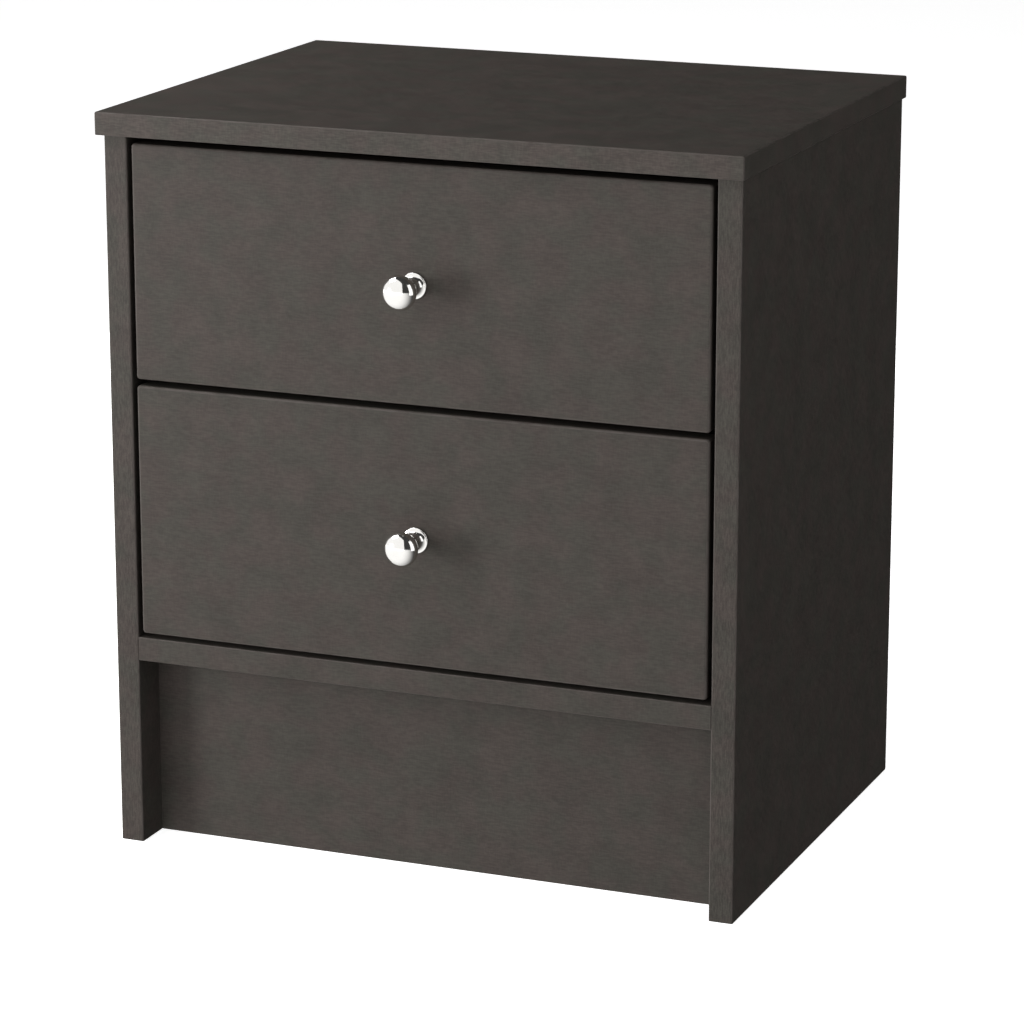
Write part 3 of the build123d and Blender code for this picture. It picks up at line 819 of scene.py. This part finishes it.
class CabinetBoards(bpy.types.Operator):
    """Finish the cabinet's foil-covered boards and its hardboard back"""

    bl_idname = "cabinet.boards"
    bl_label = "Cabinet boards"

    def execute(self, context):
        # the top's foil is made lighter than the other boards': painted light from above
        top = foil_finish("foil_top", 0, (0.7, 1.9, 0.2), raw=(1, 1), lighter=1.08, contrast=1.3)
        dress(["top_panel"], top)
        for side, way in SIDES:
            panel = foil_finish(f"foil_{side}", 2, (2.0 + way, 5.1, 0.4), raw=(1, 1), contrast=1.6)
            dress([f"{side}_side_panel"], panel)
        dress(["bottom_shelf"], foil_finish("foil_shelf", 0, (4.3, 0.6, 7.7), raw=(1, 1)))
        dress(["plinth_board"], foil_finish("foil_plinth", 0, (6.1, 3.3, 2.9), raw=(2, -1)))
        dress(["back_panel"], hardboard_finish("hardboard_back", 1, 1))
        return {"FINISHED"}


class CabinetDrawers(bpy.types.Operator):
    """Finish the drawer fronts, the drawer boxes and their bottoms"""

    bl_idname = "cabinet.drawers"
    bl_label = "Drawer boards"

    def execute(self, context):
        box = foil_finish("foil_drawer_box", 1, (1.2, 0.4, 8.8), raw=(1, 1), matt=0.06, lighter=1.12)
        bottom = hardboard_finish("hardboard_bottom", 2, -1)
        for i, level in enumerate(LEVELS):
            dress([f"{level}_drawer_front"], foil_finish(f"foil_{level}_front", 0, (3.1 * i, 2.2, 5.5 * i)))
            dress([f"{level}_drawer_{part}" for part in ("left_side", "right_side", "back")], box)
            dress([f"{level}_drawer_bottom"], bottom)
        return {"FINISHED"}


class CabinetKnobs(bpy.types.Operator):
    """Turn the chrome knobs"""

    bl_idname = "cabinet.knobs"
    bl_label = "Knobs"

    def execute(self, context):
        chrome = chrome_finish()
        for level in LEVELS:
            node = f"{level}_knob"
            low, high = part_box(node)
            outline = knob_outline((high.x - low.x) / 2, high.y - low.y)
            mesh = lathe(outline, settings("cabinet_knob").segments)
            placed(mesh, ((low.x + high.x) / 2, high.y, (low.z + high.z) / 2), "-y")
            keep(f"{level}_turned_knob", mesh, chrome, body_of(node), [node])
        return {"FINISHED"}


class CabinetScrews(bpy.types.Operator):
    """Make the screws of the rails, the drawer boxes and the knobs"""

    bl_idname = "cabinet.screws"
    bl_label = "Screws"

    def execute(self, context):
        fitting = settings("cabinet_fitting")
        tree = screw_tree()
        zinc = metal_finish("zinc_plate", tone(fitting.zinc), 0.38, 0.25 * MM)
        names = ["cabinet_rail_screws"]
        for level in LEVELS:
            names += [f"{level}_drawer_back_screws", f"{level}_drawer_rail_screws", f"{level}_knob_screw"]
        sizes = {"Recess": fitting.recess, "Slot": fitting.recess_slot, "Pitch": 1.4 * MM}
        for name in names:
            fasteners(name, tree, zinc, "zinc_plated_steel", **sizes)
        return {"FINISHED"}


class CabinetNails(bpy.types.Operator):
    """Make the nails of the back panel and the drawer bottoms"""

    bl_idname = "cabinet.nails"
    bl_label = "Nails"

    def execute(self, context):
        fitting = settings("cabinet_fitting")
        tree = nail_tree()
        steel = metal_finish("nail_steel", tuple(0.8 * c for c in fitting.zinc), 0.45, 0.2 * MM)
        for name in ["back_panel_nails"] + [f"{level}_drawer_bottom_nails" for level in LEVELS]:
            fasteners(name, tree, steel, "zinc_plated_steel")
        return {"FINISHED"}


class CabinetFittings(bpy.types.Operator):
    """Finish the cam locks, their bolts and the dowels"""

    bl_idname = "cabinet.fittings"
    bl_label = "Cam fittings and dowels"

    def execute(self, context):
        fitting = settings("cabinet_fitting")
        cast = metal_finish("cast_zinc", tone(fitting.cast), 0.52, 0.5 * MM, 0.3, 0.05)
        bolt = metal_finish("bolt_steel", tone(fitting.zinc), 0.36, 0.3 * MM)
        beech = beech_finish()
        for prefix in ("", "upper_drawer_", "lower_drawer_"):
            dress([f"{prefix}cam_locks"], cast)
            dress([f"{prefix}cam_bolts"], bolt)
            dress([f"{prefix}dowels"], beech)
        return {"FINISHED"}


class CabinetRails(bpy.types.Operator):
    """Finish the drawer rails and the rollers' axles"""

    bl_idname = "cabinet.rails"
    bl_label = "Rails and axles"

    def execute(self, context):
        fitting = settings("cabinet_fitting")
        enamel = coated_finish("rail_enamel", tone(fitting.enamel), 0.42, 0.7 * MM, 0.03, worn=0.5)
        axle = metal_finish("axle_steel", tone(fitting.zinc), 0.3, 0.3 * MM)
        for level in LEVELS:
            for side, way in SIDES:
                dress([f"{level}_{side}_cabinet_rail", f"{level}_{side}_drawer_rail"], enamel)
            dress([f"{level}_drawer_roller_axles"], axle)
        dress(["cabinet_roller_axles"], axle)
        return {"FINISHED"}


class CabinetRollers(bpy.types.Operator):
    """Mould the nylon rollers"""

    bl_idname = "cabinet.rollers"
    bl_label = "Rollers"

    def execute(self, context):
        nylon = coated_finish("moulded_nylon", tone(settings("cabinet_fitting").nylon), 0.38, 0.9 * MM, 0.02)
        for level in LEVELS:
            for side, way in SIDES:
                for carrier in ("cabinet", "drawer"):
                    node = f"{level}_{side}_{carrier}_roller"
                    points = [v.co.copy() for v in frame["nodes"][node].data.vertices]
                    roller = Turned(points, axis=0)
                    mesh = placed(roller_mesh(roller), roller.middle, "+x")
                    keep(f"{node}_moulded", mesh, nylon, body_of(node), [node])
        return {"FINISHED"}


class CabinetStudio(bpy.types.Operator):
    """Set up the pale floor, the soft lights and the camera"""

    bl_idname = "cabinet.studio"
    bl_label = "Studio"

    def execute(self, context):
        studio = settings("cabinet_studio")
        scene = context.scene
        scene.view_settings.view_transform = "Standard"

        # the floor runs up into a pale wall all round
        wall_radius, cove_radius, wall_height = 12.0, 3.0, 9.0
        cove = arc((wall_radius - cove_radius, cove_radius), (cove_radius, cove_radius), -90, 0, 16)
        roof = [(wall_radius, wall_height), (0, wall_height * 1.4)]
        mesh = lathe([(0, 0), (2, 0), (5, 0)] + cove + roof, 96)
        mesh.flip_normals()
        mesh.transform(Matrix.Translation((0, 0, -0.05 * MM)))
        paint = Finish("studio_paint")
        unevenness = paint.noise(paint.place, 2.0, 2.0)
        tint = paint.shaded(tone(studio.floor), unevenness * 0.02 + 0.99)
        mesh.materials.append(
            paint.close(Base_Color=tint, Roughness=0.9, Emission_Color=(1, 1, 1, 1), Emission_Strength=0.85)
        )
        floor = bpy.data.objects.new("studio_floor", mesh)
        scene.collection.objects.link(floor)
        floor.visible_diffuse = floor.visible_glossy = False
        floor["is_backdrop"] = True

        # light from all round: a floor that is brightest towards the large light, and a dim room above it
        room = Finish("studio_room", world=True)
        towards = room.add("ShaderNodeTexCoord", output="Generated")
        upward = room.add("ShaderNodeSeparateXYZ", inputs={0: towards}, output="Z")
        key_way = Vector((-0.6, -0.8, 0.0))
        dot = {"operation": "DOT_PRODUCT"}
        lit = room.add("ShaderNodeVectorMath", dot, {0: towards, 1: key_way}, "Value")
        floor_light = room.mix(lit.over(-0.65, 0.75), tone(studio.floor_far), tone(studio.floor_near))
        light = room.mix(upward.over(-0.02, 0.02), floor_light, tone(studio.room))
        sky = room.add("ShaderNodeBackground", inputs={"Color": light})
        room.add("ShaderNodeOutputWorld", inputs={"Surface": sky})
        scene.world = room.material

        low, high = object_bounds()
        aim = Vector((0, 0, (low.z + high.z) / 2))
        # each lamp's power, width and height, then its turn from the front in degrees, distance and height
        for name, watts, width, tall, turn, away, height in (
            ("key", studio.key_power, 6.4, 4.8, -43, 1.9, 2.4),
            ("accent", studio.accent_power, 0.4, 0.5, -47, 1.7, 0.38),
            ("rim", studio.rim_power, 1.5, 2.2, 78, 1.9, 1.1),
            ("back", studio.back_power, 1.1, 0.44, 200, 1.5, 0.24),
            ("overhead", studio.overhead_power, 1.1, 1.1, -80, 1.2, 1.6),
        ):
            data = bpy.data.lights.new(name, "AREA")
            data.shape = "RECTANGLE"
            data.energy, data.size, data.size_y = watts, width, tall
            lamp = bpy.data.objects.new(name, data)
            turned = math.radians(turn)
            lamp.location = (away * math.sin(turned), -away * math.cos(turned), height)
            level = Vector((aim.x - lamp.location.x, aim.y - lamp.location.y, 0))
            face = Vector((0, 0, -1)) if name == "overhead" else level
            lamp.rotation_euler = face.to_track_quat("-Z", "Y").to_euler()
            lamp.visible_camera = False
            scene.collection.objects.link(lamp)

        camera = bpy.data.cameras.new("camera")
        camera.lens = studio.lens
        holder = bpy.data.objects.new("camera", camera)
        holder.location = studio.camera
        holder.rotation_euler = (math.pi / 2 - studio.tilt, 0, studio.turn)
        scene.collection.objects.link(holder)
        scene.camera = holder
        return {"FINISHED"}


OPERATORS = (
    CabinetBoards,
    CabinetDrawers,
    CabinetKnobs,
    CabinetScrews,
    CabinetNails,
    CabinetFittings,
    CabinetRails,
    CabinetRollers,
    CabinetStudio,
)


class CabinetPanel(bpy.types.Panel):
    """The cabinet's pieces, in the order in which they are made"""

    bl_idname = "VIEW3D_PT_cabinet"
    bl_label = "Bedside cabinet"
    bl_space_type = "VIEW_3D"
    bl_region_type = "UI"
    bl_category = "Cabinet"

    def draw(self, context):
        for operator in OPERATORS:
            self.layout.operator(operator.bl_idname)
        for name in SETTINGS:
            group = getattr(context.scene, name)
            for key in group.__annotations__:
                self.layout.prop(group, key)


def register():
    """Add the settings, the operators and the panel."""
    for kind in (*SETTINGS.values(), *OPERATORS, CabinetPanel):
        bpy.utils.register_class(kind)
    for name, kind in SETTINGS.items():
        setattr(bpy.types.Scene, name, PointerProperty(type=kind))


def unregister():
    """Take them away again."""
    for name in SETTINGS:
        delattr(bpy.types.Scene, name)
    for kind in reversed((*SETTINGS.values(), *OPERATORS, CabinetPanel)):
        bpy.utils.unregister_class(kind)


def main():
    """Register the add-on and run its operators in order."""
    register()
    for operator in OPERATORS:
        group, action = operator.bl_idname.split(".")
        getattr(getattr(bpy.ops, group), action)()


if __name__ == "__main__":
    main()
